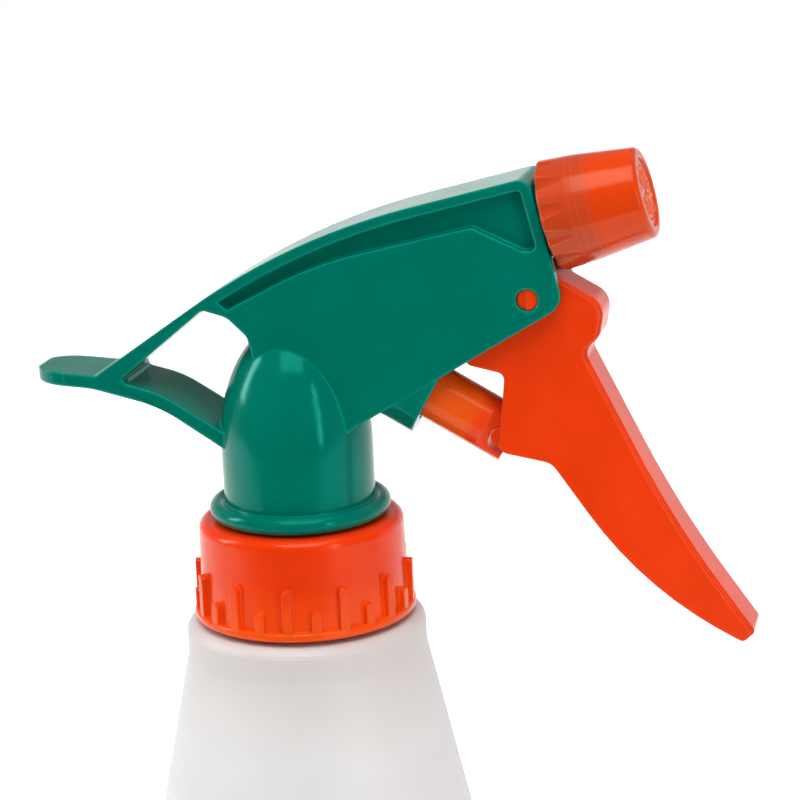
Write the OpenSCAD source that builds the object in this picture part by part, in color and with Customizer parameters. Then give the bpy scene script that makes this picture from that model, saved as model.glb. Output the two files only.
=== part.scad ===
// Hand mister: a trigger sprayer screwed on a milky bottle.
// Origin at the centre of the bottle's base, +Z up, +X the way the nozzle points.

/* [Bottle] */
// Radius of the bottle's straight body
body_r = 36; // [33:0.5:40]
// Height of the straight body, with its heel
body_h = 84.6; // [60:1:110]
// Radius of the rounded heel
heel_r = 6; // [4:0.5:8]
// Height of the conical shoulder
shoulder_h = 77.4; // [65:1:90]
// Radius of the bead at the top of the shoulder
bead_r = 19.2; // [18.6:0.1:20]
// Height of the bead
bead_h = 5.5; // [4:0.5:7]
// Radius of the neck at the root of its thread
neck_r = 12.55; // [12.2:0.05:12.8]
// Height of the neck from the bead to the rim
neck_h = 11.7; // [11:0.1:13]
// Thickness of the bottle's wall
bottle_wall = 1; // [0.8:0.1:1.5]
// Thickness of the neck's wall
neck_wall = 1.75; // [1.4:0.05:1.9]
// Rise of the pushed-up base
push_up = 3; // [2:0.5:4]

/* [Collar] */
// Radius of the collar below its top edge
collar_r = 16.25; // [15.9:0.05:17]
// Height of the collar
collar_h = 15.7; // [15:0.1:16.2]
// Thickness of the collar's top wall
collar_top = 1.8; // [1.4:0.1:2.2]
// Radius inside the collar's skirt
collar_bore_r = 14.1; // [13.9:0.05:14.3]
// Radius of the hole in the collar's top wall
collar_hole_r = 10.45; // [10.4:0.05:11]
// Radius of the lip round the foot of the collar
lip_r = 17.7; // [17.3:0.1:18.2]
// Height of the lip
lip_h = 1.4; // [1:0.1:2]
// Number of grip ribs, tall and short by turns
ribs = 24; // [16:2:32]
// Height of a tall rib
rib_tall = 8.2; // [6:0.1:10]
// Height of a short rib
rib_short = 4.7; // [3:0.1:6]
// Width of a rib
rib_w = 1.5; // [1:0.1:2]
// Radius to the face of a rib
rib_r = 17.5; // [17.3:0.05:17.8]

/* [Seal and tube holder] */
// Thickness of the neck gasket
gasket_t = 1.2; // [0.8:0.1:1.6]
// Thickness of the tube holder's flange
flange_t = 1.6; // [1.2:0.1:2]
// Radius of that flange
flange_r = 13.4; // [13:0.05:13.6]
// Gap between the flange and the collar's top wall
flange_gap = 0.2; // [0.1:0.05:0.3]
// Radius of the holder's plug in the turret
plug_r = 10.1; // [9.8:0.05:10.15]
// Height of the plug above the collar
plug_h = 8; // [6:0.5:10]
// Length of the tube socket below the flange
socket_len = 10; // [8:0.5:14]
// Outer radius of the dip tube
tube_r = 2.8; // [2.4:0.1:3]
// Wall of the dip tube
tube_wall = 0.8; // [0.6:0.1:1]
// Gap between the tube's foot and the bottle's floor
tube_clear = 8; // [6:0.5:14]
// Length of the strainer on the tube's foot
strainer_len = 12; // [8:1:16]

/* [Turret] */
// Radius of the turret
turret_r = 12; // [11.6:0.1:12.4]
// Height of its straight part above the collar
turret_h = 12; // [10:0.5:13]
// Height of its domed part
dome_h = 20; // [18:0.5:22]
// Wall of the turret
turret_wall = 1.8; // [1.7:0.05:1.85]
// Radius of the round bead at its foot
ring_tube_r = 1.4; // [1.2:0.1:1.6]
// Radius of the inlet riser's bore
riser_bore_r = 2.6; // [2.4:0.1:2.8]

/* [Head] */
// Reach of the head's front face, from the bottle's axis
nose_x = 41.2; // [40:0.2:43]
// Height of the spray axis there, above the collar
nose_z = 47.8; // [47:0.2:49]
// Upward tilt of the nozzle
spray_tilt = 14; // [12:0.5:15]
// Downward tilt of the pump
pump_tilt = 30; // [29:0.5:31]
// Half width of the side panels
panel_y = 7.5; // [7.4:0.05:7.8]
// Half width of the bay between them
bay_y = 6.3; // [6.2:0.05:6.4]
// Half width of the top band, strut and spur
band_y = 6.1; // [6:0.05:6.15]
// Half width of the web below the band
web_y = 3.6; // [3.2:0.1:4]
// Thickness of the top band
band_t = 1.8; // [1.4:0.1:2.2]
// Height of the band above the spray axis
band_rise = 7.3; // [7:0.1:7.8]
// Slope of the strut behind the band
strut_tilt = 34.5; // [33:0.5:36]
// Radius of the bend between them
band_bend_r = 110; // [80:5:120]
// Reach of the spur behind the bottle's axis
spur_reach = 42; // [38:0.5:44]
// Thickness of the spur and of its link
spur_t = 2.1; // [1.8:0.1:2.6]

/* [Trigger] */
// Place of the trigger's pivot ahead of the bottle's axis
pivot_x = 38.8; // [38.4:0.1:39.2]
// Height of the pivot above the collar
pivot_z = 36.3; // [36:0.1:36.6]
// Radius of the pivot studs
stud_r = 1.65; // [1.4:0.05:1.9]
// Running clearance of the studs
stud_fit = 0.06; // [0.03:0.01:0.1]
// Half width of the trigger
trigger_y = 5.8; // [5.7:0.05:5.85]
// Half width of the trigger at its tip
tip_y = 4.9; // [4.4:0.1:5.4]
// Wall of the trigger's cheeks
cheek_t = 1.15; // [1:0.05:1.25]
// Wall of the trigger's front
front_t = 1.8; // [1.4:0.1:2.2]
// Radius of the cross bar that pushes the piston
bar_r = 1.6; // [1.4:0.05:1.7]

/* [Pump] */
// Radius from the pivot to the cross bar
bar_reach = 22.9; // [22.8:0.05:23]
// Outer radius of the piston
piston_r = 4.4; // [4.2:0.05:4.5]
// Radius of the piston's hollow
piston_bore_r = 3.3; // [3.1:0.05:3.4]
// Radius of the pump cylinder's bore
cylinder_bore_r = 4.95; // [4.9:0.05:5.1]
// Flare of the bore's mouth, which leads the piston in
lead_in = 0.6; // [0.5:0.05:0.7]
// Outer radius of the pump cylinder
cylinder_r = 7.2; // [7:0.05:7.4]
// Depth of the pump cylinder
cylinder_len = 24; // [23.5:0.5:25]
// Distance from the cylinder's mouth to the cross bar
bar_out = 12.5; // [12.3:0.1:13]
// Clearance of the moving seal in the bore
seal_fit = 0.06; // [0.03:0.01:0.1]
// Radius of the return spring's wire
spring_wire_r = 0.45; // [0.35:0.05:0.5]
// Turns of the return spring
spring_turns = 11; // [8:1:12]

/* [Nozzle] */
// Radius of the nozzle cap at its back
cap_r = 8.5; // [8.2:0.1:8.8]
// Radius of the nozzle cap at its front
cap_front_r = 6.9; // [6.6:0.1:7.4]
// Length of the nozzle cap
cap_len = 15.1; // [14.6:0.1:16]
// Gap behind the nozzle cap
cap_gap = 0.6; // [0.5:0.1:1]
// Number of finger flutes
flutes = 12; // [8:1:14]
// Depth of a flute at the back of the cap
flute_depth = 0.75; // [0.4:0.05:1]
// Radius of the threaded spigot
spigot_r = 5.6; // [5.4:0.05:5.7]
// Radius of the section of the spigot's sealing ring
o_ring_r = 0.42; // [0.38:0.01:0.43]
// Clearance round the spigot
spigot_fit = 0.3; // [0.2:0.05:0.4]
// Length of the spigot
spigot_len = 9.6; // [9:0.1:10]
// Radius of the outlet ball
outlet_ball_r = 1.6; // [1.5:0.05:1.7]
// Radius of the inlet ball
inlet_ball_r = 2; // [1.9:0.05:2.1]

/* [Hidden] */
$fn = 64;
// Overlap that lets a cut run clear of a face
cut = 0.5;
// Small static gap between pieces that seat on each other
seat = 0.05;

// Heights along the bottle
shoulder_z = body_h + shoulder_h;
bead_z = shoulder_z + bead_h;
rim_z = bead_z + neck_h;
collar_z = rim_z + gasket_t + flange_t + flange_gap + collar_top;
gasket_z = rim_z - collar_z;
flange_z = gasket_z + gasket_t;

// Directions and places in the head's XZ plane, measured from the collar's top centre
spray = [cos(spray_tilt), sin(spray_tilt)];
spray_up = [-spray.y, spray.x];
pump = [cos(pump_tilt), -sin(pump_tilt)];
nose = [nose_x, nose_z];
pivot = [pivot_x, pivot_z];
// The cross bar's swing is close to the pump axis at the middle of its travel
stroke_angle = 30;
bar_lead = 1.6;
bar_angle = 90 - pump_tilt + stroke_angle / 2 + bar_lead;
bar = pivot + bar_reach * [-cos(bar_angle), -sin(bar_angle)];
mouth = bar - bar_out * pump;
front_root = spigot_len - 5.6;

// Intersection of the line through p at angle a with the line through q at angle b
function meet(p, a, q, b) =
    let (d = [cos(a), sin(a)], e = [cos(b), sin(b)], w = q - p,
         t = (w.x * e.y - w.y * e.x) / (d.x * e.y - d.y * e.x)) p + t * d;
function unit(v) = v / norm(v);
function turn(a) = a > 180 ? a - 360 : a < -180 ? a + 360 : a;
// One corner of an outline, rounded to radius r by an arc of n steps
function corner(a, b, c, r, n) =
    let (u = unit(a - b), w = unit(c - b), half = acos(u * w) / 2,
         centre = b + unit(u + w) * r / sin(half),
         p = b + u * r / tan(half) - centre, q = b + w * r / tan(half) - centre,
         start = atan2(p.y, p.x), sweep = turn(atan2(q.y, q.x) - start))
    [for (i = [0:n]) centre + r * [cos(start + sweep * i / n), sin(start + sweep * i / n)]];
// An outline from corners [x, y, radius]
function rounded(c, n = 6) =
    [for (i = [0:len(c) - 1])
        let (a = c[(i + len(c) - 1) % len(c)], b = c[i], d = c[(i + 1) % len(c)])
        each b[2] == 0 ? [[b.x, b.y]]
            : corner([a.x, a.y], [b.x, b.y], [d.x, d.y], b[2], n)];
// A corner at point p with radius r
function at(p, r = 0) = [p.x, p.y, r];

// Extrudes a shape drawn in the XZ plane between half widths of y on both sides
module slab(y) { rotate([90, 0, 0]) linear_extrude(2 * y, center = true) children(); }
// Places children with their +Z along the spray axis, s ahead of the head's front face
module on_spray(s = 0) {
    translate([nose.x + s * spray.x, 0, collar_z + nose.y + s * spray.y])
        rotate([0, 90 - spray_tilt, 0]) children();
}
// Places children with their +Z along the pump axis, s ahead of the cylinder's mouth
module on_pump(s = 0) {
    translate([mouth.x + s * pump.x, 0, collar_z + mouth.y + s * pump.y])
        rotate([0, 90 + pump_tilt, 0]) children();
}
module above_collar(z = 0) { translate([0, 0, collar_z + z]) children(); }
module ring(outer_r, inner_r, h) {
    difference() {
        cylinder(h, r = outer_r);
        translate([0, 0, -cut]) cylinder(h + 2 * cut, r = inner_r);
    }
}
// A coil of round wire: mean radius, wire radius, height, turns
module coil(r, wire, h, turns, sides = 8, steps = 14) {
    rings = turns * steps;
    rise = (h - 2 * wire) / rings;
    points = [for (i = [0:rings]) for (k = [0:sides - 1])
        let (a = 360 * i / steps, b = 360 * k / sides, q = r + wire * cos(b))
        [q * cos(a), q * sin(a), wire + rise * i + wire * sin(b)]];
    sides_faces = [for (i = [0:rings - 1]) for (k = [0:sides - 1])
        let (m = (k + 1) % sides)
        each [[i * sides + k, (i + 1) * sides + k, (i + 1) * sides + m],
              [i * sides + k, (i + 1) * sides + m, i * sides + m]]];
    polyhedron(points, concat(sides_faces, [[for (k = [0:sides - 1]) k]],
        [[for (k = [0:sides - 1]) rings * sides + sides - 1 - k]]));
}

// ---- Bottle ----

module bottle() {
    wall = bottle_wall;
    foot = 1.2 * wall;
    ring_r = body_r - heel_r;
    color([0.87, 0.85, 0.83]) rotate_extrude() polygon(rounded([
        [0, push_up, 0], [ring_r - 8, push_up, 0], [ring_r - 3, 0, 2],
        [body_r, 0, heel_r], [body_r, body_h, 30], [bead_r, shoulder_z, 0],
        [bead_r, bead_z, 2], [neck_r, bead_z, 0.5], [neck_r, rim_z, 0.4],
        [neck_r - neck_wall, rim_z, 0], [neck_r - neck_wall, bead_z - wall, 0.5],
        [bead_r - wall, bead_z - wall, 1], [bead_r - wall, shoulder_z, 0],
        [body_r - wall, body_h, 30], [body_r - wall, foot, heel_r - wall],
        [ring_r - 2, foot, 1], [ring_r - 7.5, push_up + foot, 0], [0, push_up + foot, 0]]));
}

// ---- Collar, with its ring of grip ribs ----

module rib(h) {
    depth = rib_r - collar_bore_r - 1;
    translate([collar_bore_r + 1, -rib_w / 2, -collar_h + lip_h / 2])
        cube([depth, rib_w, h - rib_w / 2 - lip_h / 2]);
    translate([collar_bore_r + 1, 0, -collar_h + h - rib_w / 2]) rotate([0, 90, 0])
        cylinder(depth, r = rib_w / 2);
}

module collar() {
    skirt_r = collar_r + 0.35;
    color([0.94, 0.28, 0.06]) above_collar() {
        rotate_extrude() polygon(rounded([
            [collar_hole_r, 0, 0.3], [collar_r, 0, 1.4], [skirt_r, -collar_h + lip_h, 0],
            [lip_r, -collar_h + lip_h, 0.5], [lip_r, -collar_h, 0.5], [collar_bore_r, -collar_h, 0],
            [collar_bore_r, -collar_top, 0], [collar_hole_r, -collar_top, 0]]));
        for (i = [0:ribs - 1]) rotate([0, 0, (i + 0.5) * 360 / ribs - 1.5])
            rib(i % 2 == 0 ? rib_tall : rib_short);
    }
}

// ---- Gasket, tube holder, inlet valve and dip tube ----

module neck_gasket() {
    color([0.92, 0.92, 0.9]) above_collar(gasket_z)
        ring(flange_r, neck_r - neck_wall - 1, gasket_t);
}

ball_seat_z = flange_z - 3;
// Tip of the holder's stem, which plugs into the foot of the head's riser
stem_tip_r = 3.3;
riser_socket = 4;
module tube_holder() {
    stem_r = tube_r + 1.6;
    color([0.93, 0.93, 0.9]) above_collar() difference() {
        union() {
            translate([0, 0, flange_z]) cylinder(flange_t, r = flange_r);
            translate([0, 0, flange_z]) ring(plug_r, plug_r - 1.4, plug_h - flange_z);
            translate([0, 0, gasket_z - socket_len]) cylinder(socket_len + gasket_t + flange_t + 6, r = stem_r);
            translate([0, 0, flange_z]) cylinder(plug_h + riser_socket - flange_z, r = stem_tip_r);
            translate([0, 0, gasket_z]) cylinder(gasket_t, r = neck_r - neck_wall - 1 - seat);
        }
        translate([0, 0, gasket_z - socket_len - cut]) cylinder(socket_len + cut, r = tube_r + seat);
        translate([0, 0, gasket_z - cut]) cylinder(20, r = inlet_ball_r * 0.6);
        translate([0, 0, ball_seat_z + 2.6]) cylinder(plug_h + 14, r = inlet_ball_r + 0.4);
        translate([plug_r - 3.2, 0, gasket_z - cut]) cylinder(6, r = 0.6);
    }
}

module inlet_ball() {
    rise = sqrt(pow(inlet_ball_r, 2) - pow(inlet_ball_r * 0.6, 2));
    color("silver") above_collar(ball_seat_z + 2.6 + rise) sphere(inlet_ball_r);
}

module ball_cage() {
    cage_z = ball_seat_z + 2.6 + 2 * inlet_ball_r + 1.1;
    color([0.93, 0.93, 0.9]) above_collar(cage_z) ring(inlet_ball_r + 0.4 - seat, 1.1, 1.4);
}

module dip_tube() {
    foot_z = push_up + 1.2 * bottle_wall + tube_clear;
    color([0.9, 0.92, 0.92]) translate([0, 0, foot_z])
        ring(tube_r, tube_r - tube_wall, collar_z + gasket_z - 0.2 - foot_z);
}

module tube_strainer() {
    foot_z = push_up + 1.2 * bottle_wall + tube_clear;
    color("white") translate([0, 0, foot_z - 4]) difference() {
        cylinder(strainer_len, r = tube_r + 1);
        translate([0, 0, 4]) cylinder(strainer_len, r = tube_r + seat);
        translate([0, 0, 1]) cylinder(4, r = tube_r - tube_wall);
        for (a = [0:60:300]) rotate([0, 0, a]) translate([0, -0.4, 1]) cube([tube_r + 2, 0.8, 2.4]);
    }
}

// ---- Head housing ----

belly_tilt = 30.6;
belly_drop = 12.7;
chin = nose - belly_drop * spray_up;
strut = [cos(strut_tilt), sin(strut_tilt)];
strut_up = [-strut.y, strut.x];
strut_point = [-17.6, 32];
band_corner = meet(nose + band_rise * spray_up, spray_tilt, strut_point, strut_tilt);
spur_z = 23.3;
bar_t = 2;

// Whole side view of the head, with the spur behind
function head_outline() = rounded([
    at(nose + band_rise * spray_up, 2), at(nose - 8 * spray_up), [10, 20, 0],
    [0, 12, 0], [-9, 11.4, 0], [-20.5, 18.9, 22], [-31, 21.3, 20],
    [-spur_reach, spur_z + 0.9 - spur_t, 0.9], [-spur_reach, spur_z + 0.9, 0.9],
    [-30.8, spur_z, 1], at(band_corner, band_bend_r)], 8);

// Opening between the strut, the link and the housing
function window_outline() = rounded([
    [-26.9, 22.6, 0.7], [-12.5, 34.1, 1.5], [-6.1, 30.8, 2.5], [-4, 26, 0], [-3.4, 10, 0],
    [-9, 11.4 + 1.25 * spur_t, 0], [-20.2, 18.7 + 1.05 * spur_t, 18]]);

// Groove below the band, which opens out into a pocket behind the front bar
function groove_outline() =
    let (low = band_rise - band_t, inner = nose - bar_t * spray)
    rounded([
        at(strut_point - band_t * strut_up - 0.5 * strut),
        at(meet(nose + low * spray_up, spray_tilt, strut_point - band_t * strut_up, strut_tilt),
            band_bend_r - band_t),
        at(inner + low * spray_up, 0.8), at(inner - 3.6 * spray_up, 0.8),
        [38.4, 43.7, 0.8], [30.6, 47.3, 1.5], [6, 41.6, 60], [-17, 29.9, 0]], 8);
module groove() {
    intersection() {
        polygon(groove_outline());
        translate([-8.6, 20]) square([60, 60]);
    }
}

// Flat side panel
function panel_outline() = rounded([
    at(nose - 3.6 * spray_up, 1), at(chin, 3), [9.5, chin.y - (chin.x - 9.5) * tan(belly_tilt), 2.4],
    [3, 16, 0], [-3.4, 20, 0], [-4, 26, 2], [-6.3, 30.6, 2], [-8.6, 34.1, 1],
    [6, 41.6, 60], [30.6, 47.3, 1.5], [38.4, 43.7, 0.8]], 8);

// Bay between the panels, where the trigger's head and the piston work
function bay_outline() =
    let (roof = 5.6)
    [nose + 4 * spray - roof * spray_up, nose + 4 * spray - 20 * spray_up, [12, 4], [7, 8],
     [7, 30], nose - 22 * spray - roof * spray_up];

module turret_solid(r, straight, dome) {
    rotate_extrude() polygon(concat([[0, 0], [r, 0]],
        [for (a = [0:5:90]) [r * cos(a), straight + dome * sin(a)]]));
}

module head_shell() {
    difference() {
        union() {
            difference() {
                slab(band_y) polygon(head_outline());
                slab(band_y + 1) polygon(window_outline());
                for (s = [-1, 1]) translate([0, s * (web_y + 5), 0]) slab(5) groove();
                // The spur's tip is round when seen from above
                difference() {
                    translate([-spur_reach - 1, -band_y - 1, spur_z - 8]) cube([band_y + 1, 2 * band_y + 2, 16]);
                    translate([-spur_reach + band_y, 0, spur_z - 9]) cylinder(18, r = band_y);
                }
            }
            slab(2) polygon([[-28, 21], [-22.3, 19.6], [-22.3, 27], [-24, 26]]);
            slab(panel_y) polygon(panel_outline());
        }
        slab(bay_y) polygon(bay_outline());
        // Pocket in the web beside the spigot's root
        for (s = [-1, 1]) translate([0, s * (1.6 + 5), 0]) slab(5) polygon(pocket_outline());
    }
}

function pocket_outline() =
    let (low = band_rise - band_t, inner = nose - bar_t * spray)
    [inner + (low - 0.3) * spray_up, inner - 3.2 * spray_up, [38.2, 44.3],
     inner - 8.5 * spray + 1 * spray_up, inner - 8.5 * spray + (low - 0.3) * spray_up];

module head_housing() {
    riser_r = riser_bore_r + 1.7;
    valve_r = outlet_ball_r + 0.5;
    color([0, 0.42, 0.34]) difference() {
        union() {
            above_collar() head_shell();
            above_collar(ring_tube_r + 0.27) rotate_extrude() translate([turret_r + 1, 0]) circle(ring_tube_r);
            above_collar(0.27) difference() {
                turret_solid(turret_r, turret_h - 0.27, dome_h);
                translate([0, 0, -cut]) turret_solid(turret_r - turret_wall, turret_h - 1 + cut, dome_h - 3);
            }
            above_collar(plug_h + 0.3) cylinder(turret_h + 8, r = riser_r);
            on_pump(-cylinder_len - 2) cylinder(cylinder_len + 2, r = cylinder_r);
            on_spray(-9) cylinder(9, r = 4.2);
            on_spray(-bar_t - 2) cylinder(bar_t + 2, r = spigot_r);
            on_spray(-bar_t) cylinder(bar_t + cap_gap - 0.25, r = cap_front_r);
            on_spray(-cut) cylinder(spigot_len + cap_gap + cut, r = spigot_r);
        }
        // Inlet riser, pump bore, delivery passages
        above_collar(plug_h) cylinder(turret_h + 9.5, r = riser_bore_r);
        above_collar(plug_h) cylinder(riser_socket + 0.2, r = stem_tip_r + seat);
        on_pump(-cylinder_len) cylinder(cylinder_len + cut, r = cylinder_bore_r);
        on_pump(-2.2) cylinder(2.2 + seat, r1 = cylinder_bore_r - 0.2, r2 = cylinder_bore_r + lead_in);
        above_collar(32) translate([4, 0, 0]) cylinder(nose_z - (nose_x - 4) * tan(spray_tilt) - 32, r = 1.5);
        on_spray(-(nose_x - 3) / cos(spray_tilt)) cylinder((nose_x - 3) / cos(spray_tilt), r = outlet_ball_r * 0.6);
        on_spray(-4) cylinder(20, r = valve_r);
        on_spray(cap_gap + front_root) cylinder(20, r = 3);
        // Groove for the spigot's ring
        on_spray(cap_gap + 7) difference() {
            cylinder(1.2, r = spigot_r + 1);
            cylinder(1.2, r = spigot_r - 0.6);
        }
        // Holes for the trigger's studs
        translate([pivot_x, -panel_y - 1, collar_z + pivot_z]) rotate([-90, 0, 0])
            cylinder(2 * panel_y + 2, r = stud_r + stud_fit);
    }
}

// ---- Pump: piston, seal and spring ----

module piston() {
    front = bar_out + 1.3;
    shank = front + 5.5;
    sag = 1;
    color([0.9, 0.25, 0.08]) difference() {
        union() {
            on_pump(-5.5) cylinder(shank, r = piston_r);
            on_pump(-8.2) cylinder(3, r = piston_r - 0.55);
        }
        on_pump(-8.2 - cut) cylinder(8.2 + cut + bar_out - 4, r = piston_bore_r);
        // Notch across the end for the trigger's bar, long enough for the bar's slight rise and fall
        on_pump(bar_out) rotate([90, 0, 0]) union() {
            for (x = [0, sag]) translate([x, 0, -piston_r - 1])
                cylinder(2 * piston_r + 2, r = bar_r + seat);
            translate([0, -bar_r - seat, -piston_r - 1]) cube([sag, 2 * (bar_r + seat), 2 * piston_r + 2]);
            translate([-bar_r - seat, 0, -piston_r - 1]) cube([sag + 2 * (bar_r + seat), 4, 2 * piston_r + 2]);
        }
    }
}

module piston_seal() {
    seal_r = cylinder_bore_r - seal_fit;
    color([0.95, 0.95, 0.93]) difference() {
        on_pump(-8.6) rotate_extrude() polygon([
            [piston_r - 0.55 + seat, 0], [seal_r - 0.5, 0], [seal_r, 0.3], [seal_r, 0.9], [seal_r - 0.35, 1.3],
            [seal_r - 0.35, 2], [seal_r, 2.4], [seal_r, 2.9], [seal_r - 0.2, 3.05], [piston_r - 0.55 + seat, 3.05]]);
    }
}

module return_spring() {
    color("silver") on_pump(-cylinder_len + seat)
        coil(piston_bore_r - 0.35 - spring_wire_r, spring_wire_r, cylinder_len + bar_out - 4 - 2 * seat, spring_turns);
}

// ---- Trigger ----

lobe = pivot + [5.8, -2.3];
blade_tip = pivot + [33.5, -52.3];
heel = bar + [1.3, -1.5];

// Side view of the trigger: hub and lobe above, blade below
function trigger_outline() = rounded([
    at(lobe + [2.6, -3.4], 3), at(pivot + [8.6, -8.6], 4), at(pivot + [21.5, -35.4], 160),
    at(blade_tip, 0.8), at(blade_tip + [-1.4, -1.1], 0.8),
    at(pivot + [17.5, -46.1], 60), at(heel + [7.2, -2], 3), at(heel + [-1, -0.4], 1.5),
    at(heel + [0.3, 11.9], 1.2), at(pivot + [-10, -10.4], 1), at(pivot + [-6.5, -2], 3), at(pivot, 0)], 5);

module trigger() {
    inner_y = trigger_y - cheek_t;
    // Sides that draw in towards the tip
    taper_z = -8;
    color([0.95, 0.27, 0.08]) above_collar() {
        difference() {
            slab(trigger_y) union() {
                polygon(trigger_outline());
                translate(pivot) circle(4.6);
                translate(lobe) circle(4.9);
            }
            slab(inner_y) difference() {
                translate([-front_t * 1.1, -front_t * 0.2]) union() {
                    polygon(trigger_outline());
                    translate(lobe) circle(4.9);
                    translate(pivot) circle(4.6);
                    polygon([pivot + [-4.6, 2], pivot + [0, 4.6], pivot + [-4, 8], pivot + [-14, 8], pivot + [-14, -12]]);
                }
                polygon([blade_tip + [-4.5, 4], blade_tip + [4, 4], blade_tip + [4, -5],
                    blade_tip + [-5.5, -5]]);
            }
            // Cheeks drawn in towards the tip
            for (s = [-1, 1]) rotate([90, 0, 90]) linear_extrude(80)
                polygon([[s * trigger_y, pivot_z - 15], [s * tip_y, taper_z - 10], [s * tip_y, -40], [s * 12, -40],
                         [s * 12, pivot_z - 15]]);
        }
        translate([bar.x, 0, bar.y]) rotate([90, 0, 0]) cylinder(2 * inner_y + 0.4, r = bar_r, center = true);
        for (s = [-1, 1]) translate([pivot.x, s * (panel_y - 0.3), pivot.y]) rotate([s * 90, 0, 0])
            cylinder(panel_y - 0.3 - inner_y - 0.2, r = stud_r);
    }
}

// ---- Spray end: outlet valve, swirl insert, ring, seal and cap ----

valve_s = -4 + sqrt(pow(outlet_ball_r, 2) - pow(outlet_ball_r * 0.6, 2));
insert_s = cap_gap + front_root;
module outlet_ball() { color("silver") on_spray(valve_s) sphere(outlet_ball_r); }

module outlet_spring() {
    color("silver") on_spray(valve_s + outlet_ball_r * 0.75)
        coil(outlet_ball_r - 0.1, 0.2, insert_s - valve_s - outlet_ball_r * 0.75 - seat, 5, 6, 12);
}

module swirl_insert() {
    len = spigot_len - front_root;
    color([0.93, 0.93, 0.9]) difference() {
        on_spray(insert_s) cylinder(len, r = 3 - seat);
        // Two feed slots along the sides, two tangential slots into a swirl chamber on the face
        for (a = [0, 180]) on_spray(insert_s - cut) rotate([0, 0, a]) translate([2.2, -0.5, 0]) cube([1, 1, len + 1]);
        on_spray(insert_s + len - 0.6) cylinder(1, r = 1);
        for (a = [0, 180]) on_spray(insert_s + len - 0.6) rotate([0, 0, a]) translate([0, 0.3, 0]) cube([3, 0.7, 1]);
        on_spray(insert_s - cut) cylinder(1.6, r = 1.4);
    }
}

module spigot_o_ring() {
    color([0.1, 0.1, 0.1]) on_spray(cap_gap + 7.6) rotate_extrude()
        translate([spigot_r + spigot_fit - seat - o_ring_r, 0]) circle(o_ring_r);
}

module nozzle_seal() {
    color([0.95, 0.95, 0.93]) on_spray(cap_gap + spigot_len + 0.1) ring(spigot_r + spigot_fit - seat, 1.2, 1);
}

module nozzle_cap() {
    wall_s = spigot_len + 1.15;
    dish = 1.1;
    color([0.87, 0.3, 0.1]) on_spray(cap_gap) difference() {
        rotate_extrude() polygon(rounded([
            [0, wall_s, 0], [spigot_r + spigot_fit, wall_s, 0], [spigot_r + spigot_fit, 0.8, 0],
            [spigot_r + spigot_fit + 0.8, 0, 0], [cap_r, 0, 0.3], [cap_r - 0.35, 5.5, 20],
            [cap_front_r, cap_len, 0.9], [cap_front_r - 1.6, cap_len, 0.3], [cap_front_r - 1.9, cap_len - dish, 0.2],
            [0, cap_len - dish, 0]]));
        // Finger flutes that run out half way along
        for (i = [0:flutes - 1]) rotate([0, 0, (i + 0.5) * 360 / flutes])
            translate([cap_r + 1.9 - flute_depth, 0, -1]) rotate([0, 5.5, 0]) cylinder(12, r = 1.9);
        // Seat for the orifice disc
        translate([0, 0, cap_len - dish - 1.2]) cylinder(3, r = 3.2);
        cylinder(cap_len, r = 0.6);
    }
}

module orifice_disc() {
    color([0.87, 0.3, 0.1]) on_spray(cap_gap + cap_len - 2.3) difference() {
        cylinder(1.2, r = 3.2 - seat);
        translate([0, 0, -cut]) cylinder(3, r = 0.35);
        translate([0, 0, 0.7]) cylinder(1, r1 = 0.35, r2 = 1.35);
    }
}

bottle();
collar();
neck_gasket();
tube_holder();
dip_tube();
tube_strainer();
inlet_ball();
ball_cage();
head_housing();
piston();
piston_seal();
return_spring();
trigger();
outlet_ball();
outlet_spring();
swirl_insert();
spigot_o_ring();
nozzle_seal();
nozzle_cap();
orifice_disc();
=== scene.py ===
import math

import bpy
from mathutils import Matrix, Vector


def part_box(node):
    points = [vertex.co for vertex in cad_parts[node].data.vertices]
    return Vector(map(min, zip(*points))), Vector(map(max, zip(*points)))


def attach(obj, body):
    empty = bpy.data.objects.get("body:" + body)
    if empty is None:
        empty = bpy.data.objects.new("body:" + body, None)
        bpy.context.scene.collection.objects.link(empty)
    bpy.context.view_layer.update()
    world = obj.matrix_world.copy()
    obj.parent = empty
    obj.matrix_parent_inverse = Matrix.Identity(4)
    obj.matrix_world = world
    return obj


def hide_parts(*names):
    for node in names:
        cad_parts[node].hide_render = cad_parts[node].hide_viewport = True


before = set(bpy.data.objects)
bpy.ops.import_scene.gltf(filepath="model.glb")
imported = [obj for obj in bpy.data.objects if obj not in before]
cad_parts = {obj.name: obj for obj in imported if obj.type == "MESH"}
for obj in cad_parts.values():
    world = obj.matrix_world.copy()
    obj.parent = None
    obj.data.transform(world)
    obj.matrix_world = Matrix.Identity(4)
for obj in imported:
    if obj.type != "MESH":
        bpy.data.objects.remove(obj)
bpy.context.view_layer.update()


# ---- Room, lamps and camera ----
# The mister stands on a plain pale sheet in an even white room, with soft lamps at
# the left, right, above and behind. Gloss sees a dim room on the camera's side and
# overhead, so that no veil lies on the colours. The camera looks slightly down.

FLOOR_SIZE = 3.0
FLOOR_FRONT = -0.45
FLOOR_WHITE = (0.88, 0.88, 0.88, 1)
FLOOR_GLOW = 0.6
ROOM_FILL = 0.5
CAMERA_SIDE = 0.03
FAR_SIDE = 0.8
CEILING = 0.3
WHITE = (1, 1, 1, 1)
CAMERA_TARGET = Vector((0.01699, 0, 0.20278))
CAMERA_AZIMUTH = math.radians(13.8)
CAMERA_ELEVATION = math.radians(14.5)
CAMERA_ROLL = math.radians(-2.53)
CAMERA_DISTANCE = 0.40497
CAMERA_LENS = 117


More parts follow.
